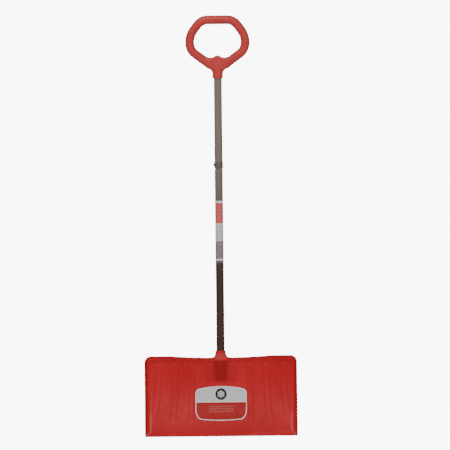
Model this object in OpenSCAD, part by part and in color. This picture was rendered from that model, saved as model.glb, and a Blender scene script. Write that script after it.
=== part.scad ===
// Snow shovel: moulded scoop on a two-piece steel tube with a closed ring grip.
// Millimetres, +Z up along the tube, scoop opening towards -Y.
// The origin is the middle of the scoop's bottom edge.

/* [Scoop] */
// Width of the scoop across its side lips
blade_w = 535; // [460:1:620]
// Height of the scoop from its bottom edge to its top corners
blade_h = 280; // [260:1:310]
// Radius of the scoop's curve, at the middle of its wall
blade_r = 400; // [380:1:480]
// Wall thickness of the scoop
blade_t = 4.4; // [3.6:0.2:5.2]
// Radius of the curl that turns each side forward
curl_r = 20; // [14:1:24]
// How far the middle of the top edge dips below its corners
top_dip = 7; // [4:1:10]
// Height of the flat corner under the end of each side lip
lip_low = 22; // [16:1:30]
// Height over which each side lip tapers
lip_taper = 55; // [40:1:80]
// Radius of the top corners seen from the front
corner_r = 24; // [14:1:28]

/* [Ribs] */
// Width of one pressed rib
rib_w = 24.5; // [18:0.5:28]
// Distance from one rib to the next
rib_pitch = 59.5; // [56:0.5:62]
// Inner edge of the rib nearest the middle
rib_first = 28; // [26:1:30]
// How far a rib stands out of the front face
rib_h = 2; // [1:0.2:2.4]
// Outward lean of the outermost rib, in degrees
rib_lean = 7; // [0:0.5:8]

/* [Socket] */
// Height of the socket's mouth above the bottom edge
socket_top = 298; // [294:1:330]
// Depth of the tube in the socket
socket_depth = 128; // [110:1:136]
// Outside diameter of the socket at its mouth
socket_d = 35; // [34:0.5:38]
// How far the tube's axis stands behind the middle of the wall at the top
socket_back = 5; // [3:0.5:7]
// Half width of the swelling on the scoop's front over the socket
swell_w = 28; // [24:1:32]

/* [Tube] */
// Outside diameter of the handle tube
tube_d = 28.6; // [28.6:0.1:30]
// Wall of the handle tube
tube_wall = 1.2; // [1:0.1:1.5]
// Height of the joint between the two tube sections
joint_z = 936; // [860:1:980]
// Length of the reduced end that slides into the upper section
spigot_l = 75; // [60:1:100]

/* [Joint] */
// Height of the collar round the lower end of the upper section
collar_h = 23; // [18:1:30]
// Wall of the collar
collar_t = 1.4; // [1:0.1:2]
// Diameter of the spring button that locks the two tube sections
button_d = 9.5; // [8:0.5:10]
// How far the button stands out of the tube
button_out = 4.2; // [3:0.1:4.5]
// Height of the button above the tube joint
button_up = 12; // [9:1:12]

/* [Grip] */
// Width of the grip ring
grip_w = 225; // [215:1:240]
// Overall height of the shovel
total_h = 1471; // [1440:1:1500]
// Thickness of the round bar that forms the ring
bar_d = 31.5; // [30:0.5:33]
// Wall of the two grip shells
grip_wall = 3; // [2.6:0.2:3.4]
// Height of the bottom of the grip's neck
neck_z = 1251; // [1245:1:1255]

/* [Labels] */
// Width of the scoop's label
label_w = 180; // [150:1:180]
// Height of the scoop's label, seen from the front
label_h = 120; // [100:1:124]
// Bottom of the wrap-around tube label
wrap_z = 604; // [560:1:640]
// Height of the wrap-around tube label
wrap_h = 218; // [180:1:240]

/* [Hidden] */
$fn = 64;
eps = 0.5;           // overlap that joins solids, and overrun of every cut
gap = 0.02;          // clearance of glued film
fit_gap = 0.08;      // radial clearance of a sliding fit
far = 700;           // longer than any cut needs

// The scoop's wall is an arc about a line along X. It is upright at the top
// corners, just in front of the tube's axis.
arc_y = -sqrt(pow(blade_r, 2) - pow(blade_h, 2));
tube_y = blade_r + arc_y + socket_back;
arc_deg = asin(blade_h / blade_r);
front_r = blade_r - blade_t / 2;
back_r = blade_r + blade_t / 2;

tube_r = tube_d / 2;
socket_bottom = socket_top - socket_depth;
socket_floor = 6;
socket_r = socket_d / 2;
socket_draft = 2;
flare_low = 18;      // the flare under the socket's mouth starts this far below the top
flare_h = 24;
fade_low = 10;       // the front swelling stops this far below the top
lip_lap = 9;         // height over which each side lip overlaps the flat corner under it
rib_low = 60;        // height of the long ribs' lower ends
rib_short = 100;     // the middle ribs end this far below the top corners
rib_top = 24;        // all ribs start this far below the top corners
screw_z = socket_bottom + 62;
web_low = 40;
web_top = socket_bottom + 34;
self_tap_r = 2.4;
washer_head_r = 5.5;
washer_head_h = 1.2;
seat_gap = 1;        // play round the washer head in its seat
hex_across = 8;
hex_h = 3.4;
screw_reach = 6;     // past the inside of the tube's wall
rib_shift = 4;       // keeps the second pair of ribs clear of the label

spigot_r = tube_r - tube_wall - 0.3;
collar_r = tube_r + collar_t;
button_z = joint_z + button_up;
leaf_t = 0.8;
leaf_w = 8;
leaf_l = 42;
rivet_r = 1.5;
rivet_head_r = 2.5;
rivet_head_t = 0.6;
flange_r = button_d / 2 + 1.2;
flange_t = 1;
spigot_bore = spigot_r - tube_wall;
flange_x = sqrt(pow(spigot_bore, 2) - pow(flange_r, 2)) - 0.2;

bar_r = bar_d / 2;
bar_z = total_h - bar_r;
side_x = grip_w / 2 - bar_r;
tube_top = total_h - 151;
boss_low = total_h - 190;
boss_high = total_h - 146;
grip_screw_r = 1.5;
pan_head_r = 3;
pan_head_h = 2;
neck_screw_r = 2;
neck_head_r = 4;
neck_r = tube_r + fit_gap + grip_wall;
neck_screw_z = tube_top - 32;
neck_seat = 1;       // depth of the neck screw's seat below the neck's surface
neck_skin = 0.8;     // plastic left in front of the neck screw's tip
head_gap = 0.4;      // play round a pan head in its seat
tip_gap = 0.7;       // between the neck screw's tip and the end of its hole

// ---- shared helpers ----------------------------------------------------

// Turns a profile drawn as [radius from the arc's line, X] about that line,
// from the angle `low` to the angle `high`, measured up from +Y.
module around_scoop(low = -arc_deg - 3, high = 0.6) {
  translate([0, arc_y, blade_h])
    rotate([90, 0, 90])
      rotate([0, 0, low])
        rotate_extrude(angle = high - low, $fn = 180)
          children();
}

// Keeps an XZ outline through the whole depth of the scoop.
module through_y() {
  translate([0, far / 2, 0])
    rotate([90, 0, 0])
      linear_extrude(far)
        children();
}

module mirrored() {
  children();
  mirror([1, 0, 0]) children();
}

// ---- scoop -------------------------------------------------------------

// Cross-section of the scoop's wall: flat in the middle, with a quarter
// round that carries each side forward.
module wall_section() {
  flat = blade_w / 2 - curl_r;
  translate([front_r, -flat])
    square([blade_t, 2 * flat]);
  for (side = [-1, 1])
    translate([back_r - curl_r, side * flat])
      intersection() {
        difference() {
          circle(curl_r);
          circle(curl_r - blade_t);
        }
        translate([0, side > 0 ? -eps / 10 : -curl_r * 2 + eps / 10])
          square(curl_r * 2);
      }
}

// The angle about the arc's line at which the wall's front is at a height.
function wall_deg(z) = -asin((blade_h - z) / front_r);

// The curved wall. Each lip stops above a corner that is flat to its full
// width.
module scoop_wall() {
  lip_end = lip_low + 1;
  around_scoop(wall_deg(lip_end))
    wall_section();
  around_scoop(high = wall_deg(lip_end + lip_lap))
    translate([front_r, -blade_w / 2])
      square([blade_t, blade_w]);
}

// What is cut from the front of each lip, so that it tapers to its low end.
module lip_cut() {
  high = lip_low + lip_taper;
  lip_r = back_r - curl_r;
  front_y = arc_y + sqrt(pow(front_r, 2) - pow(blade_h - lip_low, 2)) - 2 * eps;
  lip_y = arc_y + sqrt(pow(lip_r, 2) - pow(blade_h - high, 2));
  translate([-far / 2, 0, 0])
    rotate([90, 0, 90])
      linear_extrude(far)
        polygon([[front_y, lip_low], [lip_y, high], [-far, high], [-far, lip_low]]);
}

// One rib's outline seen from the front, leaning outwards towards the bottom.
module rib_outline(index, grow = 0) {
  shift = index == 1 ? rib_shift : 0;
  inner = rib_first + index * rib_pitch + shift;
  low = index == 0 ? blade_h - rib_short : rib_low;
  high = blade_h - rib_top;
  lean = max(index - 1, 0) / 2 * rib_lean;
  translate([inner, high])
    rotate(lean)
      translate([-grow, low - high - grow])
        square([rib_w - shift + 2 * grow, high - low + 2 * grow]);
}

// A layer of the curved wall between two radii, inside a set of rib outlines.
module rib_layer(inner_r, outer_r, grow) {
  intersection() {
    around_scoop()
      translate([inner_r, -blade_w / 2 + curl_r])
        square([outer_r - inner_r, blade_w - 2 * curl_r]);
    through_y()
      mirrored()
        for (index = [0:3])
          rib_outline(index, grow);
  }
}

// What is cut away from the curved wall to give its outline: below the ground
// line, round the top corners, and along the dip of the top edge.
module trim() {
  dip_half = blade_w / 3;
  dip_r = (pow(dip_half, 2) + pow(top_dip, 2)) / (2 * top_dip);
  translate([-far / 2, -far / 2, -far])
    cube([far, far, far]);
  translate([-far / 2, -far / 2, blade_h])
    cube([far, far, far]);
  through_y()
    translate([0, blade_h - top_dip + dip_r])
      circle(dip_r, $fn = 360);
  through_y()
    mirrored()
      translate([blade_w / 2 - corner_r, blade_h - corner_r])
        difference() {
          square(corner_r + eps);
          circle(corner_r);
        }
}

// Where the middle of the scoop's wall lies at a height.
function wall_y(z) = arc_y + sqrt(pow(blade_r, 2) - pow(blade_h - z, 2));

// Web that carries the socket's load down the back of the scoop.
module socket_web() {
  difference() {
    translate([-blade_t / 2, 0, 0])
      rotate([90, 0, 90])
        linear_extrude(blade_t)
          polygon([
            [tube_y + socket_r, web_top],
            [tube_y - socket_r, web_top],
            [wall_y(web_low) - blade_t, web_low],
            [wall_y(web_low) + blade_t, web_low]
          ]);
    translate([-far / 2, arc_y, blade_h])
      rotate([0, 90, 0])
        cylinder(h = far, r = blade_r, $fn = 180);
  }
}

// Socket with its swelling on the scoop's front.
module socket_body() {
  translate([0, tube_y, socket_bottom - socket_floor])
    cylinder(h = socket_depth + socket_floor, r1 = socket_r + socket_draft, r2 = socket_r);
  intersection() {
    translate([0, tube_y, blade_h - flare_low])
      cylinder(h = flare_h, r1 = swell_w - 2 * eps, r2 = socket_r);
    translate([-swell_w, tube_y - socket_r - 2 * eps, 0])
      cube([2 * swell_w, 2 * socket_r + 4 * eps, far]);
  }
  translate([0, tube_y, socket_bottom])
    linear_extrude(blade_h - socket_bottom - fade_low)
      polygon([
        [-swell_w, 0], [-swell_w / 2, -socket_r],
        [swell_w / 2, -socket_r], [swell_w, 0]
      ]);
  socket_web();
}

// Bore for the tube, and the screw's hole with its flat seat.
module socket_holes() {
  translate([0, tube_y, socket_bottom])
    cylinder(h = far, r = tube_r + fit_gap);
  translate([0, tube_y, screw_z])
    rotate([-90, 0, 0]) {
      cylinder(h = 2 * tube_d, r = self_tap_r + fit_gap);
      translate([0, 0, socket_r])
        cylinder(h = tube_d, r = washer_head_r + seat_gap);
    }
}

module blade() {
  color("#b5352f")
    difference() {
      union() {
        difference() {
          union() {
            scoop_wall();
            rib_layer(front_r - rib_h, front_r + eps, 0);
          }
          rib_layer(back_r - rib_h, back_r + eps, -blade_t / 2);
          trim();
          lip_cut();
        }
        socket_body();
      }
      socket_holes();
    }
}

// Outline of the label: a barrel with an arched top, straight sides,
// chamfered bottom corners and a slightly arched bottom.
module label_outline() {
  half = label_w / 2;
  arch = 12;
  chamfer = [18, 26];
  top_r = (pow(half, 2) + pow(arch, 2)) / (2 * arch);
  intersection() {
    translate([0, label_h - top_r])
      circle(top_r, $fn = 360);
    polygon([
      [-half, chamfer[1]], [-half + chamfer[0], chamfer[1] / 3], [-half / 3, 0],
      [half / 3, 0], [half - chamfer[0], chamfer[1] / 3], [half, chamfer[1]],
      [half, label_h + 1], [-half, label_h + 1]
    ]);
  }
}

module blade_label() {
  film = 0.3;
  low = 54;
  color("#c8c8c8")
    intersection() {
      around_scoop()
        translate([front_r - gap - film, -label_w])
          square([film, 2 * label_w]);
      through_y()
        translate([0, low])
          label_outline();
    }
}

// ---- fasteners ---------------------------------------------------------

// Hex washer head screw along +Z, its head's underside at z = 0.
module hex_screw(shank_r, length) {
  translate([0, 0, -length])
    cylinder(h = length + eps, r = shank_r);
  cylinder(h = washer_head_h, r = washer_head_r);
  cylinder(h = washer_head_h + hex_h, r = hex_across / sqrt(3), $fn = 6);
}

// Pan head screw along +Z, its head's underside at z = 0.
module pan_screw(shank_r, length, head_r, head_h) {
  translate([0, 0, -length])
    cylinder(h = length + eps, r = shank_r);
  difference() {
    cylinder(h = head_h, r1 = head_r, r2 = head_r * 0.8);
    for (turn = [0, 90])
      rotate(turn)
        translate([-head_r, -0.4, head_h / 2])
          cube([2 * head_r, 0.8, head_h]);
  }
}

module socket_screw() {
  color("#9a9a9a")
    translate([0, tube_y + socket_r, screw_z])
      rotate([-90, 0, 0])
        hex_screw(self_tap_r, socket_r - tube_r + tube_wall + screw_reach);
}

// ---- handle tube -------------------------------------------------------

module lower_tube() {
  shoulder = 6;
  color("#6f625b")
    translate([0, tube_y, 0])
      difference() {
        union() {
          translate([0, 0, socket_bottom + gap])
            cylinder(h = joint_z - shoulder - socket_bottom, r = tube_r);
          translate([0, 0, joint_z - shoulder])
            cylinder(h = shoulder - eps, r1 = tube_r, r2 = spigot_r);
          translate([0, 0, joint_z - 2 * eps])
            cylinder(h = spigot_l + 2 * eps, r = spigot_r);
        }
        translate([0, 0, socket_bottom - eps])
          cylinder(h = joint_z - shoulder - socket_bottom, r = tube_r - tube_wall);
        translate([0, 0, joint_z - shoulder - 2 * eps])
          cylinder(h = shoulder, r1 = tube_r - tube_wall, r2 = spigot_bore);
        translate([0, 0, socket_bottom])
          cylinder(h = joint_z - socket_bottom + 2 * spigot_l, r = spigot_bore);
        translate([0, 0, button_z])
          rotate([0, -90, 0])
            cylinder(h = tube_d, r = button_d / 2 + fit_gap);
        translate([0, 0, screw_z])
          rotate([-90, 0, 0])
            cylinder(h = tube_d, r = self_tap_r + fit_gap);
      }
}

module upper_tube() {
  color("#7d706a")
    translate([0, tube_y, 0])
      difference() {
        translate([0, 0, joint_z])
          cylinder(h = tube_top - joint_z, r = tube_r);
        translate([0, 0, joint_z - eps])
          cylinder(h = tube_top - joint_z + 2 * eps, r = tube_r - tube_wall);
        translate([0, 0, button_z])
          rotate([0, -90, 0])
            cylinder(h = tube_d, r = button_d / 2 + fit_gap);
        translate([0, -tube_d, neck_screw_z])
          rotate([-90, 0, 0])
            cylinder(h = 2 * tube_d, r = neck_screw_r + fit_gap);
      }
}

// Ring that stiffens the open end of the upper section. The button passes
// through it.
module joint_collar() {
  edge = 0.8;
  color("#5d544e")
    translate([0, tube_y, joint_z])
      difference() {
        union() {
          cylinder(h = edge, r1 = collar_r - edge, r2 = collar_r);
          translate([0, 0, edge - gap])
            cylinder(h = collar_h - 2 * edge + 2 * gap, r = collar_r);
          translate([0, 0, collar_h - edge])
            cylinder(h = edge, r1 = collar_r, r2 = collar_r - edge);
        }
        translate([0, 0, -eps])
          cylinder(h = collar_h + 2 * eps, r = tube_r + gap);
        translate([0, 0, button_up])
          rotate([0, -90, 0])
            cylinder(h = 2 * tube_d, r = button_d / 2 + fit_gap);
      }
}

module tube_label() {
  film = 0.2;
  color("#c4655f")
    translate([0, tube_y, wrap_z])
      rotate(95)
        rotate_extrude(angle = 350)
          translate([tube_r + gap, 0])
            square([film, wrap_h]);
}

// ---- lock button -------------------------------------------------------

// The button, drawn from the tube's axis towards -X: flange inside the tube,
// stem through both walls, domed end, and the rivet that holds the spring.
module snap_button() {
  dome = 1.6;
  button_r = button_d / 2;
  tip = tube_r + button_out;
  color("#3a3a3a")
    translate([0, tube_y, button_z])
      rotate([0, -90, 0]) {
        translate([0, 0, flange_x - flange_t])
          cylinder(h = flange_t, r = flange_r);
        translate([0, 0, flange_x - eps])
          cylinder(h = tip - dome - flange_x + eps, r = button_r);
        translate([0, 0, tip - dome])
          cylinder(h = dome, r1 = button_r, r2 = button_r - dome);
        translate([0, 0, flange_x - flange_t - leaf_t - gap])
          cylinder(h = flange_t + leaf_t, r = rivet_r);
        translate([0, 0, flange_x - flange_t - leaf_t - gap - rivet_head_t])
          cylinder(h = rivet_head_t, r = rivet_head_r);
      }
}

// The sideways direction at a point of a path, stretched at its corners.
function sideways(path, i) =
  let (before = i > 0 ? path[i] - path[i - 1] : path[1] - path[0])
  let (after = i < len(path) - 1 ? path[i + 1] - path[i] : before)
  let (way = before / norm(before) + after / norm(after))
  [-way[1], way[0]] * 2 / (way * way);

// Outline of a strip of even thickness along a path.
module ribbon(path, thick) {
  last = len(path) - 1;
  polygon(concat(
    [for (i = [0:last]) path[i] + sideways(path, i) * thick / 2],
    [for (i = [last:-1:0]) path[i] - sideways(path, i) * thick / 2]
  ));
}

// V-shaped clip: one leg carries the button, the other bears on the far wall.
module button_spring() {
  near_x = -(flange_x - flange_t - leaf_t / 2 - gap / 2);
  far_x = sqrt(pow(spigot_bore, 2) - pow(leaf_w / 2, 2)) - leaf_t / 2 - fit_gap;
  bend_r = 3;
  bend_x = far_x - bend_r - 1;
  leg_top = 7;
  leg_low = -8;
  path = concat(
    [[near_x, leg_top], [near_x, leg_low]],
    [for (turn = [180:15:360]) [bend_x, -leaf_l] + bend_r * [cos(turn), sin(turn)]],
    [[far_x, leg_low], [far_x, leg_top]]
  );
  color("#b9bcc0")
    translate([0, tube_y, button_z])
      difference() {
        translate([0, leaf_w / 2, 0])
          rotate([90, 0, 0])
            linear_extrude(leaf_w)
              ribbon(path, leaf_t);
        rotate([0, -90, 0])
          cylinder(h = tube_r, r = rivet_r + fit_gap);
      }
}

// ---- grip --------------------------------------------------------------

// The ring's centre line has three corners on each side, going round from the
// top to the neck. Each entry is a corner, the heading before it, the heading
// after it, and the radius of its bend.
shoulder = [grip_w / 4, bar_z];
elbow = [side_x, bar_z - 54];
hip = [side_x, bar_z - 105];
drop_deg = 36.5;
slope_deg = atan2(elbow[1] - shoulder[1], elbow[0] - shoulder[0]);
corners = [
  [shoulder, 0, slope_deg, 45],
  [elbow, slope_deg, -90, 70],
  [hip, -90, drop_deg - 180, 47]
];

function ahead(from, heading, reach) = from + reach * [cos(heading), sin(heading)];

// A point on the lower run, at a distance from the middle.
function on_lower_run(x) = [x, hip[1] - (side_x - x) * tan(drop_deg)];

// How far before and after its corner a bend begins and ends.
function bend_reach(bend) = bend[3] * tan((bend[1] - bend[2]) / 2);

function flipped(points) = [for (i = [len(points) - 1:-1:0]) [-points[i][0], points[i][1]]];

// A round bar between two points of the XZ plane.
module bar(from, to, radius) {
  way = to - from;
  translate([from[0], 0, from[1]])
    rotate([0, 90 - atan2(way[1], way[0]), 0])
      cylinder(h = norm(way), r = radius);
}

// A round bar's bend, stopping just short of the straight runs it joins.
module bend_bar(bend, radius) {
  short = 0.4;
  start = ahead(bend[0], bend[1], -bend_reach(bend));
  centre = ahead(start, bend[1] - 90, bend[3]);
  translate([centre[0], 0, centre[1]])
    rotate([90, 0, 0])
      rotate(bend[2] + 90 + short)
        rotate_extrude(angle = bend[1] - bend[2] - 2 * short)
          translate([bend[3], 0])
            circle(radius);
}

// Round bars along the ring's centre line, ending at `end_x` from the middle.
// A low collar laps each place where a straight run meets a bend.
module bars(radius, end_x) {
  short = 0.3;
  lap = 1.5;
  lap_h = 0.3;
  starts = [for (bend = corners) ahead(bend[0], bend[1], -bend_reach(bend))];
  ends = [for (bend = corners) ahead(bend[0], bend[2], bend_reach(bend))];
  last = on_lower_run(end_x);
  bar([-starts[0][0] + short, bar_z], [starts[0][0] - short, bar_z], radius);
  mirrored() {
    for (i = [0:2]) {
      bend_bar(corners[i], radius);
      for (place = [[starts[i], corners[i][1]], [ends[i], corners[i][2]]])
        bar(ahead(place[0], place[1], -lap), ahead(place[0], place[1], lap), radius + lap_h);
      run_end = i < 2 ? ahead(starts[i + 1], corners[i][2], -short) : last;
      bar(ahead(ends[i], corners[i][2], short), run_end, radius);
    }
  }
}

// Keeps the half on one side of the parting plane.
module half(side) {
  intersection() {
    children();
    translate([-far / 2, side > 0 ? 0 : -far, 0])
      cube([far, far, 3 * far]);
  }
}

// Boss that joins the ring to the neck, seen from the front. It rises to a low
// bump in the middle of the opening.
module boss_outline() {
  bump = 8;
  right = [
    [12, boss_high + bump], [17, boss_high], [boss_x, boss_high], [boss_x, boss_low + 12],
    [30, boss_low + 5.5], [22, boss_low - 1.5], [neck_r, boss_low - 15]
  ];
  polygon(concat(right, flipped(right)));
}

// Places of the screws that join the two shells.
screw_spots = [
  for (side = [-1, 1])
    for (spot = [[30, bar_z], on_lower_run(70)])
      [side * spot[0], spot[1]]
];
post_r = 4.2;
head_seat = bar_r - 5;
screw_tip = 9;
boss_proud = 0.6;
boss_t = neck_r + boss_proud;
boss_x = 46;
run_end_x = 34;      // the ring's lower runs end here, inside the boss
hollow_x = boss_x + 8;

// Points local +Z from the parting plane into the shell on one side.
module into_shell(side, spot) {
  translate([spot[0], 0, spot[1]])
    rotate([side > 0 ? -90 : 90, 0, 0])
      children();
}

// Outside of one shell, with the ring hollowed out and the screw posts in it.
module grip_body(side) {
  difference() {
    union() {
      half(side)
        bars(bar_r, run_end_x);
      translate([0, side > 0 ? boss_t : 0, 0])
        rotate([90, 0, 0])
          linear_extrude(boss_t)
            boss_outline();
      half(side)
        translate([0, 0, neck_z])
          cylinder(h = boss_low - neck_z, r = neck_r);
    }
    bars(bar_r - grip_wall, hollow_x);
  }
  for (spot = screw_spots)
    into_shell(side, spot)
      cylinder(h = bar_r - 1, r = post_r);
}

// Tube bore and screw holes. The back shell takes the screws' heads, and the
// front shell takes their tips.
module grip_holes(side) {
  translate([0, 0, neck_z - eps])
    cylinder(h = tube_top - neck_z + 2 * eps, r = tube_r + fit_gap);
  for (spot = screw_spots)
    into_shell(side, spot)
      translate([0, 0, -eps]) {
        cylinder(h = side > 0 ? far : screw_tip + 1 + eps, r = grip_screw_r + fit_gap);
        if (side > 0)
          translate([0, 0, head_seat + eps])
            cylinder(h = far, r = pan_head_r + head_gap);
      }
  into_shell(side, [0, neck_screw_z]) {
    cylinder(h = side > 0 ? far : neck_r - neck_skin, r = neck_screw_r + fit_gap);
    if (side > 0)
      translate([0, 0, neck_r - neck_seat])
        cylinder(h = far, r = neck_head_r + head_gap);
  }
}

module grip_shell(side) {
  difference() {
    grip_body(side);
    grip_holes(side);
  }
}

module grip_front() {
  color("#a84039")
    translate([0, tube_y, 0])
      grip_shell(-1);
}

module grip_back() {
  color("#a84039")
    translate([0, tube_y, 0])
      grip_shell(1);
}

module grip_screws() {
  color("#9a9a9a")
    for (spot = screw_spots)
      translate([spot[0], tube_y + head_seat, spot[1]])
        rotate([-90, 0, 0])
          pan_screw(grip_screw_r, head_seat + screw_tip, pan_head_r, pan_head_h);
}

module neck_screw() {
  color("#9a9a9a")
    translate([0, tube_y + neck_r - neck_seat, neck_screw_z])
      rotate([-90, 0, 0])
        pan_screw(neck_screw_r, 2 * neck_r - neck_seat - neck_skin - tip_gap, neck_head_r, pan_head_h);
}

blade();
blade_label();
socket_screw();
lower_tube();
upper_tube();
joint_collar();
tube_label();
snap_button();
button_spring();
grip_front();
grip_back();
grip_screws();
neck_screw();
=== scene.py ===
"""Looks of a snow shovel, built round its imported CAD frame.

Metres, +Z up along the handle, +X across the scoop, which opens towards -Y.
The scoop and the grip are drawn as distance fields and meshed by surface nets,
so that walls, sockets and bosses run into each other with moulded fillets.
"""
import math

import bmesh
import bpy
import numpy as np
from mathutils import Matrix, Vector


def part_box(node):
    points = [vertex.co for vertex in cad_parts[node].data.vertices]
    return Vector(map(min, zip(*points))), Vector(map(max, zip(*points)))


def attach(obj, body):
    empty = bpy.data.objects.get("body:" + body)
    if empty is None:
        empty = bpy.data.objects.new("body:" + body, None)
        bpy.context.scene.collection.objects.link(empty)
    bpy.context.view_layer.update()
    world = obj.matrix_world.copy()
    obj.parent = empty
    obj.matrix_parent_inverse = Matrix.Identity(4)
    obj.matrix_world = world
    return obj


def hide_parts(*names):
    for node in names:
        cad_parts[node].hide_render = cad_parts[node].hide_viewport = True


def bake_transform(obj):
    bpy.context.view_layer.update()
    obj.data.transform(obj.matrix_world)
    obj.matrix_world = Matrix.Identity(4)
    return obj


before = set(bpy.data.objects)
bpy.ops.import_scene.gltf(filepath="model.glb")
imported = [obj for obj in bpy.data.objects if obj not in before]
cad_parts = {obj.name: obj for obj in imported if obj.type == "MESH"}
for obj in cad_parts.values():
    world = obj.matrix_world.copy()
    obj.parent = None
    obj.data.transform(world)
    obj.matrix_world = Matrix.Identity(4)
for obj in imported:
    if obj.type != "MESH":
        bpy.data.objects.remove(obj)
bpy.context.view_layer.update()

MM = 0.001

# ---- places read from the frame ------------------------------------------

blade_low, blade_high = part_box("blade")
tube_low, tube_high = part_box("lower_tube")
grip_low, grip_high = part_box("grip_front")
label_low, label_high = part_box("blade_label")
button_low, button_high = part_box("snap_button")
wrap_low, wrap_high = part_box("tube_label")
collar_low, collar_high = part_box("joint_collar")

BLADE_W = blade_high.x - blade_low.x
SOCKET_TOP = blade_high.z
SOCKET_BOTTOM = tube_low.z
TUBE_R = (tube_high.x - tube_low.x) / 2
TUBE_Y = (tube_high.y + tube_low.y) / 2
TOTAL_H = grip_high.z
NECK_Z = grip_low.z
JOINT_Z = collar_low.z
GRIP_W = grip_high.x - grip_low.x

# ---- design values shared with the CAD model -----------------------------

SCOOP_R = 400 * MM      # radius of the scoop's curve, at the middle of its wall
SCOOP_H = 280 * MM      # height of the scoop's top corners
WALL = 4.4 * MM         # thickness of the scoop's wall
CURL = 17.8 * MM        # radius of each side lip, at the middle of its wall
CORNER_R = 24 * MM      # radius of the top corners seen from the front
TOP_DIP = 7 * MM        # dip of the top edge's middle
RIB_W = 24.5 * MM
RIB_PITCH = 59.5 * MM
RIB_FIRST = 28 * MM
RIB_H = 2 * MM
ARC_Y = -math.sqrt(SCOOP_R**2 - SCOOP_H**2)
FINE_X = BLADE_W / 2 - 34 * MM      # where the scoop's mesh gets finer, before the lips
BACK_R = 17.5 * MM      # reach of the socket behind the tube's axis
BUTTON_R = 4.75 * MM

# ---- meshing of distance fields ------------------------------------------


def smooth_min(a, b, k):
    """The lower of two fields, with a fillet of about k where they meet."""
    h = np.clip(0.5 + 0.5 * (b - a) / k, 0, 1)
    return b * (1 - h) + a * h - k * h * (1 - h)


def smooth_max(a, b, k):
    """The higher of two fields, with a rounded edge of about k where they meet."""
    return -smooth_min(-a, -b, k)


def smooth_step(low, high, value):
    """0 below low, 1 above high, and an S-curve between them."""
    t = np.clip((value - low) / (high - low), 0, 1)
    return t * t * (3 - 2 * t)


def cell_points(field, axes):
    """One point in each cell that the zero surface crosses, and that cell's number, or -1."""
    cells = tuple(n - 1 for n in field.shape)
    total = np.zeros(cells + (3,))
    count = np.zeros(cells)
    grids = [np.asarray(a) for a in axes]
    for axis in range(3):
        first = [slice(None)] * 3
        second = [slice(None)] * 3
        first[axis], second[axis] = slice(0, -1), slice(1, None)
        low, high = field[tuple(first)], field[tuple(second)]
        crosses = (low < 0) != (high < 0)
        share = np.where(crosses, low / np.where(crosses, low - high, 1), 0)
        steps = np.diff(grids[axis])
        shape = [1, 1, 1]
        shape[axis] = -1
        along = grids[axis][:-1].reshape(shape) + share * steps.reshape(shape)
        b, c = [a for a in range(3) if a != axis]
        for i in (0, 1):
            for j in (0, 1):
                part = [slice(None)] * 3
                part[b], part[c] = slice(i, cells[b] + i), slice(j, cells[c] + j)
                hit = crosses[tuple(part)]
                count += hit
                total[..., axis] += np.where(hit, along[tuple(part)], 0)
                for other, shift in ((b, i), (c, j)):
                    shape = [1, 1, 1]
                    shape[other] = -1
                    place = grids[other][shift:cells[other] + shift].reshape(shape)
                    total[..., other] += hit * place
    used = count > 0
    number = np.full(cells, -1)
    number[used] = np.arange(used.sum())
    return total[used] / count[used][:, None], number


def cell_quads(field, number):
    """A quad round every grid edge that the zero surface crosses."""
    quads = []
    for axis in range(3):
        b, c = (axis + 1) % 3, (axis + 2) % 3
        first = [slice(1, -1)] * 3
        second = [slice(1, -1)] * 3
        first[axis], second[axis] = slice(0, -1), slice(1, None)
        low, high = field[tuple(first)] < 0, field[tuple(second)] < 0
        for here, turn in ((low & ~high, 1), (~low & high, -1)):
            at = np.argwhere(here)
            at[:, [b, c]] += 1
            ring = []
            for i, j in ((-1, -1), (0, -1), (0, 0), (-1, 0)):
                cell = at.copy()
                cell[:, b] += i
                cell[:, c] += j
                ring.append(number[cell[:, 0], cell[:, 1], cell[:, 2]])
            quads.append(np.stack(ring[::turn], axis=1))
    return np.concatenate(quads)


def gradient(field, points, reach=0.05 * MM):
    """The direction in which a field grows at each point, as a unit vector."""
    grad = np.empty_like(points)
    for axis in range(3):
        step = np.zeros(3)
        step[axis] = reach
        grad[:, axis] = field(points + step) - field(points - step)
    grad /= 2 * reach
    return grad


def mesh_of_field(name, field, axes, to_world=None):
    """A closed mesh of a field's zero surface, with its normals from the field."""
    grid = np.stack(np.meshgrid(*axes, indexing="ij"), axis=-1)
    place = to_world or (lambda p: p)
    values = field(place(grid.reshape(-1, 3))).reshape(grid.shape[:3])
    points, number = cell_points(values, axes)
    quads = cell_quads(values, number)
    points = place(points)
    for _ in range(4):
        grad = gradient(field, points)
        slope = np.maximum((grad**2).sum(1), 0.25)
        move = (field(points) / slope)[:, None] * grad
        size = np.linalg.norm(move, axis=1, keepdims=True)
        points -= move * np.minimum(1, 0.8 * MM / np.maximum(size, 1e-9))
    normals = gradient(field, points)
    normals /= np.maximum(np.linalg.norm(normals, axis=1, keepdims=True), 1e-9)
    a, b, c = (points[quads[:, i]] for i in (0, 1, 2))
    facing = (np.cross(b - a, c - a) * normals[quads[:, 0]]).sum()
    if facing < 0:
        quads = quads[:, ::-1]
    mesh = bpy.data.meshes.new(name)
    mesh.from_pydata(points.tolist(), [], quads.tolist())
    mesh.validate()
    mesh.shade_smooth()
    mesh.normals_split_custom_set_from_vertices(normals.tolist())
    return mesh


def add_object(name, mesh):
    """An object for a mesh, in the scene."""
    piece = bpy.data.objects.new(name, mesh)
    bpy.context.scene.collection.objects.link(piece)
    return piece


def store(mesh, name, values):
    """Stores one value for each point of a mesh under a name, for its material."""
    mesh.attributes.new(name, "FLOAT", "POINT").data.foreach_set("value", values)


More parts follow.
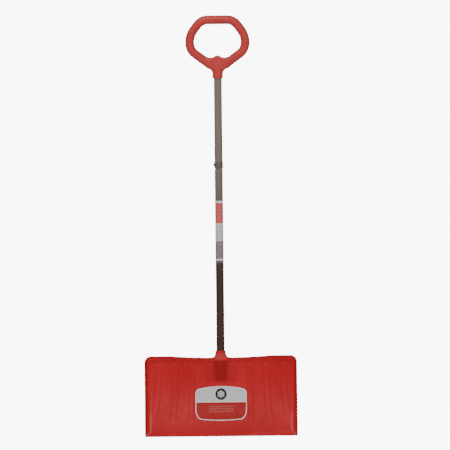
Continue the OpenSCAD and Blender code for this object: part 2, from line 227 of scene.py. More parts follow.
def finish_piece(piece, body, slot_name, material, *nodes):
    """Gives a piece its material and its body, and hides the CAD nodes it stands for; slot_name is not
    used.
    """
    piece.data.materials.clear()
    piece.data.materials.append(material)
    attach(piece, body)
    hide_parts(*nodes)
    return piece


# ---- materials -----------------------------------------------------------


def colour(red, green, blue):
    """Linear colour of a display colour given from 0 to 255."""
    parts = [c / 255 for c in (red, green, blue)]
    return [c / 12.92 if c <= 0.04045 else ((c + 0.055) / 1.055)**2.4 for c in parts] + [1]


class Net:
    """A material's nodes, added and linked by short calls."""

    def __init__(self, name):
        self.made = bpy.data.materials.new(name)
        self.made.use_nodes = True
        self.tree = self.made.node_tree
        self.shader = self.tree.nodes["Principled BSDF"]
        self.place = self.node("TexCoord").outputs["Object"]
        self.x, self.y, self.z = self.node("SeparateXYZ", {"Vector": self.place}).outputs

    def feed(self, socket, value):
        if isinstance(value, bpy.types.NodeSocket):
            self.tree.links.new(value, socket)
        else:
            socket.default_value = value

    def node(self, kind, inputs=None, **settings):
        made = self.tree.nodes.new("ShaderNode" + kind)
        for key, value in settings.items():
            setattr(made, key, value)
        for key, value in (inputs or {}).items():
            self.feed(made.inputs[key], value)
        return made

    def math(self, operation, a, b=0.0):
        return self.node("Math", {0: a, 1: b}, operation=operation).outputs[0]

    def mix(self, share, a, b):
        made = self.node("Mix", {0: share, 6: a, 7: b}, data_type="RGBA")
        return made.outputs[2]

    def step(self, value, low, high, out_low=0.0, out_high=1.0):
        """A soft step from out_low, below low, to out_high, above high."""
        inputs = {"Value": value, "From Min": low, "From Max": high}
        inputs.update({"To Min": out_low, "To Max": out_high})
        return self.node("MapRange", inputs, interpolation_type="SMOOTHSTEP").outputs[0]

    def noise(self, scale, stretch=(1, 1, 1), detail=3.0):
        """Seamless noise from 0 to 1, with scale features to the metre."""
        place = self.node("Mapping", {"Vector": self.place, "Scale": stretch}).outputs[0]
        inputs = {"Vector": place, "Scale": scale, "Detail": detail}
        return self.node("TexNoise", inputs).outputs[0]

    def edges(self, low, high):
        """1 on sharp outer edges, and 0 on flat and hollow surfaces."""
        return self.step(self.node("NewGeometry").outputs["Pointiness"], low, high)

    def bump(self, height, distance, strength=1.0):
        inputs = {"Height": height, "Distance": distance, "Strength": strength}
        return self.node("Bump", inputs).outputs[0]

    def finish(self, base, rough, **inputs):
        """Feeds the shader, and gives the material."""
        self.feed(self.shader.inputs["Base Color"], base)
        self.feed(self.shader.inputs["Roughness"], rough)
        for key, value in inputs.items():
            self.feed(self.shader.inputs[key.replace("_", " ")], value)
        return self.made


def attribute(net, name):
    """The values stored on the mesh under a name."""
    return net.node("Attribute", attribute_name=name).outputs["Fac"]


def scoop_plastic():
    """Moulded red polymer: flow marks, a fine grain, painted shade on the socket's front, the top band
    and the side lips, paler where worn, and painted highlights along the lip beads and on the socket's
    rim.
    """
    net = Net("scoop_polymer")
    flow = net.noise(7, (1, 1, 0.35), 4)
    base = net.mix(net.step(flow, 0.3, 0.7), colour(181, 32, 38), colour(195, 39, 44))
    # Painted shade: the thick attribute darkens the socket's front, the top band and the side lips in
    # place of shade there; it does not stand for thicker walls.
    base = net.mix(net.math("MULTIPLY", attribute(net, "thick"), 0.5), base, colour(102, 18, 19))
    scuffs = net.step(net.noise(60, (0.25, 1, 1), 5), 0.58, 0.75)
    low = net.step(net.z, 0.0, 30 * MM, 0.35, 0.0)
    wear = net.math("MAXIMUM", net.math("MULTIPLY", scuffs, low), net.edges(0.53, 0.62))
    # Painted highlight: paler lines along the lip beads and on the socket's rim, joined here to the
    # real wear and mixed towards the same pale colour.
    wear = net.math("MAXIMUM", wear, attribute(net, "painted_highlight"))
    base = net.mix(net.math("MULTIPLY", wear, 0.4), base, colour(228, 134, 126))
    grain = net.noise(1300, detail=2)
    rough = net.step(net.noise(35), 0.3, 0.7, 0.4, 0.5)
    return net.finish(base, rough, Normal=net.bump(grain, 0.05 * MM, 0.5), Specular_IOR_Level=0.08)


def grip_plastic():
    """Paler and more matt red polymer, with a fine grain and rubbed edges."""
    net = Net("grip_polymer")
    flow = net.noise(16, detail=4)
    base = net.mix(net.step(flow, 0.3, 0.7), colour(180, 48, 46), colour(192, 56, 53))
    rub = net.step(net.noise(45, (1, 1, 0.4), 5), 0.6, 0.75, 0.0, 0.3)
    wear = net.math("MAXIMUM", rub, net.edges(0.53, 0.62))
    base = net.mix(net.math("MULTIPLY", wear, 0.35), base, colour(222, 128, 118))
    grain = net.noise(1100, detail=2)
    rough = net.step(net.noise(50), 0.3, 0.7, 0.44, 0.56)
    return net.finish(base, rough, Normal=net.bump(grain, 0.06 * MM, 0.6), Specular_IOR_Level=0.35)


def tube_paint():
    """Satin taupe paint on steel, with painted shade that makes it a little darker and browner towards
    the scoop.
    """
    net = Net("taupe_paint")
    # Painted shade: the tube darkens towards the scoop in place of the darker surroundings it reflects
    # lower down.
    painted_shade_gradient = net.step(net.z, 0.5, 1.0)
    base = net.mix(painted_shade_gradient, colour(60, 37, 27), colour(124, 110, 101))
    cloud = net.step(net.noise(22, (1, 1, 0.2)), 0.3, 0.7, 0.0, 0.12)
    base = net.mix(cloud, base, colour(110, 98, 90))
    rub = net.step(net.noise(90, (1, 1, 0.12), 6), 0.68, 0.8, 0.0, 0.25)
    above = net.math("ABSOLUTE", net.math("SUBTRACT", net.z, JOINT_Z - 3 * MM))
    wear = net.math("MAXIMUM", rub, net.step(above, 2 * MM, 5 * MM, 0.3, 0.0))
    base = net.mix(wear, base, colour(128, 120, 112))
    rough = net.step(net.noise(160), 0.3, 0.7, 0.36, 0.48)
    peel = net.noise(500, detail=1)
    return net.finish(base, rough, Normal=net.bump(peel, 0.03 * MM, 0.4), Specular_IOR_Level=0.2)


def collar_nylon():
    """Moulded grey-brown nylon with a fine grain and paler worn edges."""
    net = Net("collar_nylon")
    mottle = net.step(net.noise(120), 0.3, 0.7)
    base = net.mix(mottle, colour(84, 74, 68), colour(98, 88, 81))
    middle, half = (collar_low.z + collar_high.z) / 2, (collar_high.z - collar_low.z) / 2
    off = net.math("ABSOLUTE", net.math("SUBTRACT", net.z, middle))
    base = net.mix(net.step(off, half - 1.4 * MM, half, 0.0, 0.6), base, colour(140, 130, 124))
    rough = net.step(net.noise(300), 0.3, 0.7, 0.45, 0.6)
    return net.finish(base, rough, Normal=net.bump(net.noise(1500, detail=1), 0.04 * MM, 0.5))


def zinc(name="zinc_plate", tint=(150, 150, 152)):
    """Zinc-plated steel with a fine mottle and brighter worn edges."""
    net = Net(name)
    mottle = net.step(net.noise(400, detail=4), 0.35, 0.65)
    base = net.mix(mottle, colour(*tint), colour(*(c + 28 for c in tint)))
    base = net.mix(net.edges(0.52, 0.6), base, colour(225, 225, 228))
    rough = net.step(net.noise(900), 0.3, 0.7, 0.28, 0.42)
    return net.finish(base, rough, Metallic=1.0, Normal=net.bump(mottle, 0.02 * MM, 0.4))


# ---- scoop ---------------------------------------------------------------


def scoop_to_world(p):
    """World places of (x, distance down the wall, distance in front of its middle)."""
    angle = p[:, 1] / SCOOP_R
    radius = SCOOP_R - p[:, 2]
    return np.stack([
        p[:, 0],
        ARC_Y + radius * np.cos(angle),
        SCOOP_H - radius * np.sin(angle),
    ], axis=1)


def rib_height(x, down):
    """How far the pressed ribs push the wall forward."""
    edge, top = 3.5 * MM, 24 * MM
    height = np.zeros_like(x)
    for index in range(4):
        spread = max(index - 0.6, 0) * 7.5 * MM * np.clip((down - 60 * MM) / (180 * MM), 0, 2)**2
        inner = RIB_FIRST + index * RIB_PITCH + (4 * MM if index == 1 else 0) + spread
        outer = RIB_FIRST + index * RIB_PITCH + RIB_W + spread
        low = 100 * MM if index == 0 else 262 * MM
        fade = 10 * MM if index == 0 else 46 * MM
        across = smooth_step(inner, inner + edge, x) * smooth_step(-outer, edge - outer, -x)
        along = smooth_step(top, top + 11 * MM, down) * smooth_step(-low, fade - low, -down)
        height += across * along
    return RIB_H * height


def lip_start(down):
    """Where the wall starts to bend forward into a side lip, and the bend's radius."""
    shrink = smooth_step(281 * MM, 312 * MM, down)
    curl = CURL * (1 - shrink) + 2.6 * MM * shrink
    return BLADE_W / 2 - WALL / 2 - curl, curl


def lip_bead(x, down):
    """A fine bead along the foot of each side lip, as a height from 0 to 1."""
    away = x - lip_start(down)[0] + 1.5 * MM
    return np.exp(-(away / (2.3 * MM))**2) * smooth_step(196 * MM, 222 * MM, down)


def wall_field(x, y, z):
    """The scoop's curved wall with its ribs, side lips and outline."""
    dy, dz = y - ARC_Y, z - SCOOP_H
    front = SCOOP_R - np.hypot(dy, dz)
    down = SCOOP_R * np.arctan2(-dz, dy)
    # Each lip's radius shrinks towards the bottom corner.
    flat, curl = lip_start(down)
    bent = curl - np.hypot(x - flat, front - curl)
    upright = flat + curl - x
    # The ribs run out before the lips start.
    ribs = rib_height(x, down) * smooth_step(-flat, 5 * MM - flat, -x)
    middle = np.where(x < flat, front - ribs, np.where(front < curl, bent, upright))
    bead = lip_bead(x, down) * smooth_step(-296 * MM, -280 * MM, -down)
    wall = np.abs(middle) - WALL / 2 - 1.2 * MM * bead * (front > 0)
    wall = smooth_max(wall, front - curl, 2.2 * MM)
    dip = TOP_DIP * np.clip(1 - (x / (BLADE_W / 3))**2, 0, 1)
    qx = x - (BLADE_W / 2 - CORNER_R)
    qz = z + dip - (SCOOP_H - CORNER_R)
    outline = np.minimum(np.maximum(qx, qz), 0) + np.hypot(np.maximum(qx, 0), np.maximum(qz, 0))
    wall = smooth_max(wall, outline - CORNER_R, 2.2 * MM)
    return smooth_max(wall, -z, 1.2 * MM)


def socket_field(x, y, z):
    """The tube socket and its swelling on the scoop's front."""
    dy = y - TUBE_Y
    flare = smooth_step(-SCOOP_H - 16 * MM, 12 * MM - SCOOP_H, -z) * smooth_step(215 * MM, 250 * MM, z)
    radial = np.hypot(x / (1 + 0.34 * flare), dy)
    rise = np.clip((z - SOCKET_BOTTOM) / (SOCKET_TOP - SOCKET_BOTTOM), 0, 1)
    barrel_r = 19.5 * MM - 2 * MM * rise
    barrel = smooth_max(radial - barrel_r, z - SOCKET_TOP, 1.5 * MM)
    nose = 16 * MM + 4 * MM * smooth_step(186 * MM, 214 * MM, z)
    barrel = smooth_max(barrel, -nose - dy, 4 * MM)
    barrel = smooth_max(barrel, SOCKET_BOTTOM - 6 * MM - z, 8 * MM)
    swell = 0.8 * (np.hypot(x / 1.55, dy) - 17 * MM)
    swell = smooth_max(swell, z - SCOOP_H + 6 * MM, 12 * MM)
    swell = smooth_max(swell, SOCKET_BOTTOM + 4 * MM - z, 10 * MM)
    return smooth_min(barrel, smooth_max(swell, dy + 4 * MM, 6 * MM), 5 * MM)


def web_field(x, y, z):
    """The web behind the wall, from under the socket down to near the bottom."""
    low_z, top_z = 40 * MM, SOCKET_BOTTOM + 34 * MM
    low_y = ARC_Y + math.sqrt(SCOOP_R**2 - (SCOOP_H - low_z)**2) + WALL
    top_y = TUBE_Y + BACK_R
    length = math.hypot(top_y - low_y, top_z - low_z)
    behind = ((y - low_y) * (top_z - low_z) - (z - low_z) * (top_y - low_y)) / length
    web = smooth_max(x - WALL / 2, behind, 2 * MM)
    web = np.maximum(web, SCOOP_R + MM - np.hypot(y - ARC_Y, z - SCOOP_H))
    return np.maximum(web, np.maximum(z - top_z, low_z - 4 * MM - z))


def blade_field(p):
    """The whole scoop moulding, mirrored about its middle."""
    x, y, z = np.abs(p[:, 0]), p[:, 1], p[:, 2]
    front = SCOOP_R - np.hypot(y - ARC_Y, z - SCOOP_H)
    under_label = smooth_step(-2 * MM, 2 * MM, front) * smooth_step(-225 * MM, -192 * MM, -z)
    body = smooth_min(wall_field(x, y, z), socket_field(x, y, z), 9 * MM - 7 * MM * under_label)
    body = smooth_min(body, web_field(x, y, z), 3 * MM)
    chamfer = 0.6 * MM * smooth_step(SOCKET_TOP - 2 * MM, SOCKET_TOP, z)
    bore = np.hypot(x, y - TUBE_Y) - TUBE_R - 0.3 * MM - chamfer
    body = smooth_max(body, -np.maximum(bore, SOCKET_BOTTOM - z), 0.8 * MM)
    screw_low, screw_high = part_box("socket_screw")
    seat_y, screw_z = TUBE_Y + BACK_R, (screw_low.z + screw_high.z) / 2
    seat = np.maximum(np.hypot(x, z - screw_z) - 6.6 * MM, seat_y - y)
    return smooth_max(body, -seat, 0.5 * MM)


def mark_blade(mesh):
    """Stores painted shade, darker over the socket's front, the top band and the side lips, and painted
    highlights, paler along the lip beads and on the socket's rim.
    """
    co = np.array([v.co for v in mesh.vertices])
    x, z = np.abs(co[:, 0]), co[:, 2]
    front = SCOOP_R - np.hypot(co[:, 1] - ARC_Y, z - SCOOP_H)
    down = SCOOP_R * np.arctan2(SCOOP_H - z, co[:, 1] - ARC_Y)
    # Painted shade, stored as thick: the socket's swelling and the wall round it, the top band and the
    # side lips are darkened in place of shade.
    high = smooth_step(180 * MM, 196 * MM, z)
    over_tube = smooth_step(-32 * MM, -18 * MM, -x) * smooth_step(-266 * MM, -258 * MM, -z)
    thick = high * np.maximum(over_tube, 0.4 * smooth_step(-72 * MM, -34 * MM, -x))
    thick = np.maximum(thick, 0.3 * smooth_step(246 * MM, 262 * MM, z))
    thick = np.maximum(thick, 0.25 * smooth_step(FINE_X + 15 * MM, FINE_X + 25 * MM, x))
    # Painted highlight along the top of each lip bead.
    painted_highlight = 1.5 * lip_bead(x, down) * smooth_step(0, WALL, front)
    # Painted highlight on the socket's top rim, which also takes away the painted shade there.
    rim = 0.35 * smooth_step(-26 * MM, -18 * MM, -x) * smooth_step(262 * MM, 270 * MM, z)
    thick *= (1 - smooth_step(0, 0.35, rim)) * smooth_step(-WALL, WALL / 2, front)
    store(mesh, "thick", thick)
    store(mesh, "painted_highlight", np.maximum(painted_highlight, rim * smooth_step(-292 * MM, -284 * MM, -z)))


def make_blade():
    """The scoop, meshed on a grid that follows its curve and is finer across the lips."""
    half = BLADE_W / 2 + 2 * MM
    fine = np.linspace(FINE_X, half, 36)
    axes = (
        np.concatenate([-fine[::-1], np.linspace(-FINE_X, FINE_X, 261)[1:-1], fine]),
        np.arange(-26 * MM, 346 * MM, 2.1 * MM),
        np.arange(-46 * MM, 25 * MM, 1.15 * MM),
    )
    mesh = mesh_of_field("blade_moulded", blade_field, axes, scoop_to_world)
    mark_blade(mesh)
    blade = add_object("blade_moulded", mesh)
    return finish_piece(blade, "shovel", "scoop_plastic", scoop_plastic(), "blade")


# ---- grip ----------------------------------------------------------------

BAR_R = 15.75 * MM      # radius of the round bar that forms the ring
BAR_Z = TOTAL_H - BAR_R
SIDE_X = GRIP_W / 2 - BAR_R
DROP = math.radians(36.5)   # slope of the ring's lower runs
BOSS_TOP = TOTAL_H - 149 * MM
BOSS_LOW = TOTAL_H - 193 * MM
TUBE_TOP = TOTAL_H - 151 * MM


def ring_corners():
    """Each corner of the ring's centre line: its place, headings and bend."""
    shoulder = (GRIP_W / 4, BAR_Z)
    elbow = (SIDE_X, BAR_Z - 54 * MM)
    hip = (SIDE_X, BAR_Z - 105 * MM)
    slope = math.atan2(elbow[1] - shoulder[1], elbow[0] - shoulder[0])
    return [
        (shoulder, 0, slope, 45 * MM),
        (elbow, slope, -math.pi / 2, 70 * MM),
        (hip, -math.pi / 2, DROP - math.pi, 47 * MM),
    ]


def segment_distance(x, z, start, end):
    """Distance in the XZ plane from points to a straight line."""
    way = (end[0] - start[0], end[1] - start[1])
    share = ((x - start[0]) * way[0] + (z - start[1]) * way[1]) / (way[0]**2 + way[1]**2)
    share = np.clip(share, 0, 1)
    return np.hypot(x - start[0] - share * way[0], z - start[1] - share * way[1])


def ring_distance(x, z):
    """Distance in the XZ plane from points with x >= 0 to the ring's centre line."""
    place = (0, BAR_Z)
    away = np.full_like(x, 1.0)
    for corner, before, after, radius in ring_corners():
        reach = radius * math.tan((before - after) / 2)
        start = (corner[0] - reach * math.cos(before), corner[1] - reach * math.sin(before))
        end = (corner[0] + reach * math.cos(after), corner[1] + reach * math.sin(after))
        away = np.minimum(away, segment_distance(x, z, place, start))
        turn = before - math.pi / 2
        centre = (start[0] + radius * math.cos(turn), start[1] + radius * math.sin(turn))
        dx, dz = x - centre[0], z - centre[1]
        middle = (before + after + math.pi) / 2
        off = np.abs((np.arctan2(dz, dx) - middle + math.pi) % (2 * math.pi) - math.pi)
        arc = np.abs(np.hypot(dx, dz) - radius)
        away = np.where(off < (before - after) / 2, np.minimum(away, arc), away)
        place = end
    last = (34 * MM, place[1] - (place[0] - 34 * MM) * math.tan(DROP))
    return np.minimum(away, segment_distance(x, z, place, last))


def boss_distance(x, z):
    """Distance in the XZ plane from points with x >= 0 to the boss's outline."""
    top = z - BOSS_TOP - 7.5 * MM * smooth_step(-20 * MM, -3 * MM, -x)
    lean = math.atan2(7, 16)
    side = (x - 30 * MM) * math.sin(lean) - (z - BOSS_LOW - 7 * MM) * math.cos(lean)
    return smooth_max(smooth_max(top, side, 6 * MM), x - 38 * MM, 6 * MM)


def badge_field(x, z):
    """A plain oval ridge that decorates the boss, as a height from 0 to 1."""
    oval = np.hypot(x / 1.7, z - BOSS_TOP + 19 * MM)
    return smooth_step(-1.6 * MM, -0.7 * MM, -np.abs(oval - 10 * MM))


def grip_body(p):
    """The grip's outside before it is split into its two shells."""
    x, y, z = np.abs(p[:, 0]), p[:, 1] - TUBE_Y, p[:, 2]
    ring = np.hypot(ring_distance(x, z), y) - BAR_R
    thick = 17.4 * MM + 0.5 * MM * badge_field(x, z)
    boss = smooth_max(boss_distance(x, z), np.abs(y) - thick, 9 * MM)
    body = smooth_min(ring, boss, 8 * MM)
    neck_r, neck_top = 17.3 * MM, z - BOSS_TOP + 30 * MM
    neck = smooth_max(np.hypot(x, y) - neck_r, neck_top, 4 * MM)
    body = smooth_min(body, neck, 2.5 * MM)
    # A thinner web fills the corners between the boss and the neck.
    corner = smooth_min(boss_distance(x, z), np.maximum(x - neck_r, neck_top), 17 * MM)
    body = smooth_min(body, smooth_max(corner, np.abs(y) - 10 * MM, 8 * MM), 5 * MM)
    return smooth_max(body, NECK_Z - z, 1.2 * MM)


def grip_holes(p):
    """The tube's bore and the seats of the shells' screws."""
    x, y, z = np.abs(p[:, 0]), p[:, 1] - TUBE_Y, p[:, 2]
    holes = np.maximum(np.hypot(x, y) - TUBE_R - 0.15 * MM, z - TUBE_TOP)
    top_x, low_x, seat_r, seat_y = 30 * MM, 70 * MM, 3.4 * MM, BAR_R - 5 * MM
    low_z = ring_corners()[2][0][1] - (SIDE_X - low_x) * math.tan(DROP)
    spots = [
        (top_x, BAR_Z, seat_r, seat_y),
        (low_x, low_z, seat_r, seat_y),
        (0, TUBE_TOP - 32 * MM, 4.4 * MM, 16.4 * MM),
    ]
    for spot_x, spot_z, radius, depth in spots:
        seat = np.maximum(np.hypot(x - spot_x, z - spot_z) - radius, depth - y)
        holes = np.minimum(holes, seat)
    return holes


def make_grip(side, name, node):
    """One shell of the grip, with a fine groove where it meets the other."""
    def shell(p):
        body = smooth_max(grip_body(p), -grip_holes(p), 0.7 * MM)
        return smooth_max(body, 0.04 * MM - side * (p[:, 1] - TUBE_Y), 0.9 * MM)

    lows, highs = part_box(node)
    step = 1.25 * MM
    axes = [np.arange(lows[i] - 2.2 * MM, highs[i] + 3 * MM, step) for i in range(3)]
    shell_piece = add_object(name, mesh_of_field(name, shell, axes))
    return finish_piece(shell_piece, "shovel", "grip_plastic", grip_plastic(), node)


# ---- labels --------------------------------------------------------------

FILM = 0.3 * MM
LABEL_FRONT = WALL / 2 + 0.02 * MM + FILM / 2   # its middle, in front of the wall's middle
LABEL_W = label_high.x - label_low.x


def label_outline(x, z):
    """Signed distance in the XZ plane to the scoop label's outline."""
    half, low = LABEL_W / 2, label_low.z
    arch = 12 * MM
    radius = (half**2 + arch**2) / (2 * arch)
    top = np.hypot(x, z - label_high.z + radius) - radius
    sides = np.abs(x) - half
    lean = math.atan2(26, 18)
    corner = (np.abs(x) - half) * math.sin(lean) - (z - low - 24 * MM) * math.cos(lean)
    shape = smooth_max(top, sides, 16 * MM)
    shape = smooth_max(shape, corner, 8 * MM)
    foot = 6.5 * MM
    sweep = (half**2 + foot**2) / (2 * foot)
    bottom = np.hypot(x, z - low - sweep) - sweep
    return smooth_max(shape, bottom, 7 * MM)


def flake_distance(x, z, size):
    """Distance to the strokes of a plain six-armed snow crystal."""
    turn = (np.arctan2(x, z) + math.pi / 6) % (math.pi / 3) - math.pi / 6
    radius = np.hypot(x, z)
    across, along = np.abs(radius * np.sin(turn)), radius * np.cos(turn)
    arm = segment_distance(across, along, (0, 0), (0, size))
    twig = segment_distance(across, along, (0, 0.5 * size), (0.28 * size, 0.8 * size))
    return np.minimum(arm, twig)


def make_blade_label():
    """The scoop's label: a thin film that follows the wall, printed by its material."""
    def film(p):
        x, y, z = p[:, 0], p[:, 1], p[:, 2]
        front = SCOOP_R - np.hypot(y - ARC_Y, z - SCOOP_H)
        flat = np.abs(front - LABEL_FRONT) - FILM / 2
        return smooth_max(flat, label_outline(x, z), 0.2 * MM)

    half = LABEL_W / 2 + 2 * MM
    axes = (
        np.arange(-half, half, 1.2 * MM),
        np.arange(100 * MM, 270 * MM, 1.2 * MM),
        np.arange(LABEL_FRONT - 0.36 * MM, LABEL_FRONT + 0.4 * MM, 0.12 * MM),
    )
    mesh = mesh_of_field("blade_label_film", film, axes, scoop_to_world)
    co = np.array([v.co for v in mesh.vertices])
    x, z = co[:, 0], co[:, 2]
    emblem_z = label_high.z - 28 * MM
    badge = np.hypot(x, z - emblem_z) - 20 * MM
    flake = flake_distance(x, z - emblem_z, 13 * MM) - 1.1 * MM
    store(mesh, "rim", label_outline(x, z))
    store(mesh, "badge", badge)
    store(mesh, "flake", flake)
    return finish_piece(
        add_object("blade_label_film", mesh), "shovel", "label_film", blade_label_print(), "blade_label"
    )


def below(net, value, limit, soft=0.25 * MM):
    """1 where a value is below a limit, with a soft edge."""
    return net.step(value, limit - soft, limit + soft, 1.0, 0.0)


def bars(net, rows, half_width, height):
    """1 on plain printed bars, each centred at one of the heights in rows."""
    wide = below(net, net.math("ABSOLUTE", net.x), half_width)
    found = 0.0
    for row in rows:
        off = net.math("ABSOLUTE", net.math("SUBTRACT", net.z, row))
        found = net.math("MAXIMUM", found, below(net, off, height / 2))
    return net.math("MULTIPLY", wide, found)


def blade_label_print():
    """Printed film: silver over dark red, a white border and a dark badge."""
    net = Net("scoop_label_print")
    split = label_low.z + 65 * MM
    fleck = net.step(net.noise(700, (1, 1, 0.2)), 0.35, 0.65)
    silver = net.mix(fleck, colour(196, 194, 194), colour(216, 214, 214))
    red = net.mix(fleck, colour(162, 20, 19), colour(172, 28, 25))
    base = net.mix(net.step(net.z, split - MM / 2, split + MM / 2), red, silver)
    lines = bars(net, [split - rise for rise in (16 * MM, 24.5 * MM, 33 * MM)], 43 * MM, 3.6 * MM)
    base = net.mix(net.math("MULTIPLY", lines, 0.24), base, colour(222, 150, 142))
    white = colour(232, 230, 228)
    divider = below(net, net.math("ABSOLUTE", net.math("SUBTRACT", net.z, split)), 1.4 * MM)
    base = net.mix(divider, base, white)
    base = net.mix(below(net, attribute(net, "badge"), 0.0), base, colour(40, 33, 35))
    base = net.mix(below(net, attribute(net, "flake"), 0.0), base, white)
    base = net.mix(below(net, attribute(net, "rim"), -3 * MM), white, base)
    dust = net.noise(120, detail=5)
    rough = net.step(dust, 0.3, 0.7, 0.26, 0.38)
    return net.finish(base, rough, Normal=net.bump(dust, 0.03 * MM, 0.3), Specular_IOR_Level=0.06)


def tube_label_print():
    """Printed wrap: a red band, a silver band, a dark band and thin white lines."""
    net = Net("tube_label_print")
    fleck = net.step(net.noise(500, (1, 1, 0.3)), 0.35, 0.65)
    low, high = wrap_low.z, wrap_high.z
    silver = net.mix(fleck, colour(188, 188, 188), colour(208, 208, 208))
    red = net.mix(fleck, colour(200, 82, 79), colour(212, 98, 94))
    grey = net.mix(fleck, colour(122, 110, 109), colour(146, 134, 133))
    white = colour(228, 224, 221)
    silver_z, red_z = low + 75 * MM, low + 136 * MM
    base = net.mix(net.step(net.z, silver_z, silver_z + 3 * MM), grey, silver)
    base = net.mix(net.step(net.z, red_z, red_z + 2 * MM), base, red)
    base = net.mix(below(net, net.z, low + 7 * MM), base, colour(104, 92, 90))
    for middle, half in ((low + 12 * MM, 3 * MM), (high - 4 * MM, 4 * MM), (red_z + MM, 2 * MM)):
        band = net.math("ABSOLUTE", net.math("SUBTRACT", net.z, middle))
        base = net.mix(below(net, band, half), base, white)
    dust = net.noise(150, detail=5)
    rough = net.step(dust, 0.3, 0.7, 0.3, 0.42)
    return net.finish(base, rough, Normal=net.bump(dust, 0.03 * MM, 0.3))


# ---- lock button ---------------------------------------------------------


def dark_steel():
    """Blackened steel, polished a little where a thumb rubs it."""
    net = Net("dark_steel")
    mottle = net.step(net.noise(600, detail=4), 0.35, 0.65)
    base = net.mix(mottle, colour(46, 44, 44), colour(66, 63, 61))
    base = net.mix(net.edges(0.51, 0.58), base, colour(150, 148, 146))
    rough = net.step(net.noise(1200), 0.3, 0.7, 0.3, 0.45)
    return net.finish(base, rough, Metallic=0.8, Normal=net.bump(mottle, 0.02 * MM, 0.4))


def dome(start, end, radius, steps=8):
    """Radii and reaches of a rounded end, from its edge to its tip."""
    turns = [math.pi / 2 * i / steps for i in range(steps + 1)]
    return [(radius * math.cos(t), start + (end - start) * math.sin(t)) for t in turns]


def solid_object(name, made):
    """An object for a closed solid built in bmesh, smooth but for its sharp edges."""
    bmesh.ops.recalc_face_normals(made, faces=made.faces)
    mesh = bpy.data.meshes.new(name)
    made.to_mesh(mesh)
    made.free()
    mesh.shade_smooth()
    mesh.set_sharp_from_angle(angle=math.radians(35))
    return add_object(name, mesh)


def lathe(name, profile, centre, sides=64):
    """A closed solid turned about a line along X: profile lists (radius, x)."""
    made = bmesh.new()
    rings = []
    for radius, x in profile:
        if radius < 1e-7:
            rings.append([made.verts.new((x, centre.y, centre.z))])
            continue
        ring = []
        for i in range(sides):
            turn = 2 * math.pi * i / sides
            place = (x, centre.y + radius * math.cos(turn), centre.z + radius * math.sin(turn))
            ring.append(made.verts.new(place))
        rings.append(ring)
    for a, b in zip(rings, rings[1:]):
        for i in range(sides):
            corners = [a[i % len(a)], a[(i + 1) % len(a)], b[(i + 1) % len(b)], b[i % len(b)]]
            made.faces.new(list(dict.fromkeys(corners)))
    return solid_object(name, made)


def make_button():
    """The lock button: flange, stem and rivet as in the CAD, with a rounded tip."""
    centre = (button_low + button_high) / 2
    flange_r = (button_high.z - button_low.z) / 2
    back, tip = button_high.x, button_low.x
    flange = back - 2.42 * MM
    profile = [
        (0, back), (2.3 * MM, back), (2.5 * MM, back - 0.2 * MM),
        (2.5 * MM, back - 0.6 * MM), (1.5 * MM, back - 0.6 * MM), (1.5 * MM, flange),
        (flange_r - 0.2 * MM, flange), (flange_r, flange - 0.2 * MM),
        (flange_r, flange - 0.8 * MM), (flange_r - 0.2 * MM, flange - MM), (BUTTON_R, flange - MM),
    ]
    profile += dome(tip + 2.2 * MM, tip, BUTTON_R)[:-1] + [(0, tip)]
    piece = lathe("lock_button", profile, Vector((0, TUBE_Y, centre.z)))
    return finish_piece(piece, "button", "button_steel", dark_steel(), "snap_button")


def make_spring():
    """The button's spring clip, copied from its CAD node with doubled points merged; its legs do not
    move with the button here.
    """
    made = bmesh.new()
    made.from_mesh(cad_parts["button_spring"].data)
    bmesh.ops.remove_doubles(made, verts=made.verts, dist=0.001 * MM)
    piece = solid_object("spring_clip", made)
    piece.data.materials.append(zinc("spring_steel", (140, 142, 146)))
    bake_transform(piece)
    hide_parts("button_spring")


# ---- stage ---------------------------------------------------------------


def stage_white():
    """A pale floor that takes soft shadows and looks even to the camera."""
    net = Net("pale_floor")
    base = net.mix(net.noise(3), colour(250, 250, 250), colour(253, 253, 253))
    lamp = net.node("LightPath").outputs["Is Camera Ray"]
    net.feed(net.shader.inputs["Emission Color"], colour(255, 255, 255))
    return net.finish(base, 0.9, Emission_Strength=net.math("MULTIPLY", lamp, 8.4))


def make_floor():
    """A wide floor just under the scoop's edge."""
    made = bmesh.new()
    reach = 60
    made.faces.new([made.verts.new((x, y, -0.2 * MM)) for x, y in (
        (-reach, -reach), (reach, -reach), (reach, reach), (-reach, reach))])
    mesh = bpy.data.meshes.new("floor")
    made.to_mesh(mesh)
    made.free()
    mesh.materials.append(stage_white())
    add_object("floor", mesh)


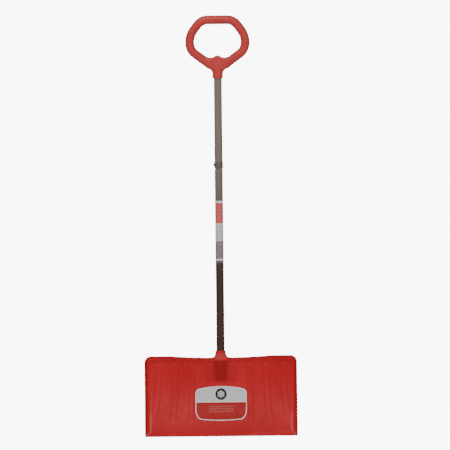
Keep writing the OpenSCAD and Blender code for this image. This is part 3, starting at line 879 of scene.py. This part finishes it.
def make_world():
    """White studio surroundings: plain to the camera, softer as a light."""
    world = bpy.data.worlds.new("studio")
    bpy.context.scene.world = world
    world.use_nodes = True
    nodes, links = world.node_tree.nodes, world.node_tree.links
    lamp = nodes.new("ShaderNodeLightPath").outputs["Is Camera Ray"]
    power = nodes.new("ShaderNodeMapRange")
    links.new(lamp, power.inputs["Value"])
    power.inputs["To Min"].default_value = 0.32
    power.inputs["To Max"].default_value = 9.0
    links.new(power.outputs[0], nodes["Background"].inputs["Strength"])
    nodes["Background"].inputs["Color"].default_value = (1, 1, 1, 1)


def add_light(name, place, target, size, watts):
    """A square soft light that faces a target."""
    lamp = bpy.data.lights.new(name, "AREA")
    lamp.size, lamp.energy = size, watts
    made = bpy.data.objects.new(name, lamp)
    made.location = place
    made.rotation_euler = (Vector(target) - Vector(place)).to_track_quat("-Z", "Y").to_euler()
    bpy.context.scene.collection.objects.link(made)


def make_camera():
    """A long lens, level, facing the scoop."""
    away, width = 30.0, 1.575
    lens = bpy.data.cameras.new("camera")
    lens.sensor_width = 36
    lens.lens = lens.sensor_width * away / width
    made = bpy.data.objects.new("camera", lens)
    made.location = (20 * MM, TUBE_Y - away, 737 * MM)
    made.rotation_euler = (math.pi / 2, math.radians(0.6), 0)
    lens.clip_end = 200
    bpy.context.scene.collection.objects.link(made)
    bpy.context.scene.camera = made


# ---- scene ---------------------------------------------------------------


def finish_cad_nodes():
    """Materials for the CAD nodes that are shown as they are."""
    finishes = {
        "lower_tube": tube_paint(),
        "upper_tube": tube_paint(),
        "joint_collar": collar_nylon(),
        "tube_label": tube_label_print(),
        "grip_screws": zinc(),
        "neck_screw": zinc(),
        "socket_screw": zinc(),
    }
    for node, finish in finishes.items():
        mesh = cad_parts[node].data
        mesh.materials.clear()
        mesh.materials.append(finish)


make_blade()
make_grip(-1, "grip_shell_front", "grip_front")
make_grip(1, "grip_shell_back", "grip_back")
make_blade_label()
make_button()
make_spring()
finish_cad_nodes()
make_floor()
make_world()
add_light("key", (-0.8, -3.8, 5.6), (0, 0, 0.5), 3.0, 270)
add_light("fill", (2.8, -4.2, 2.0), (0, 0, 0.6), 2.5, 22)
add_light("back", (1.6, 4.4, 3.6), (0, 0, 0.6), 2.6, 90)
make_camera()
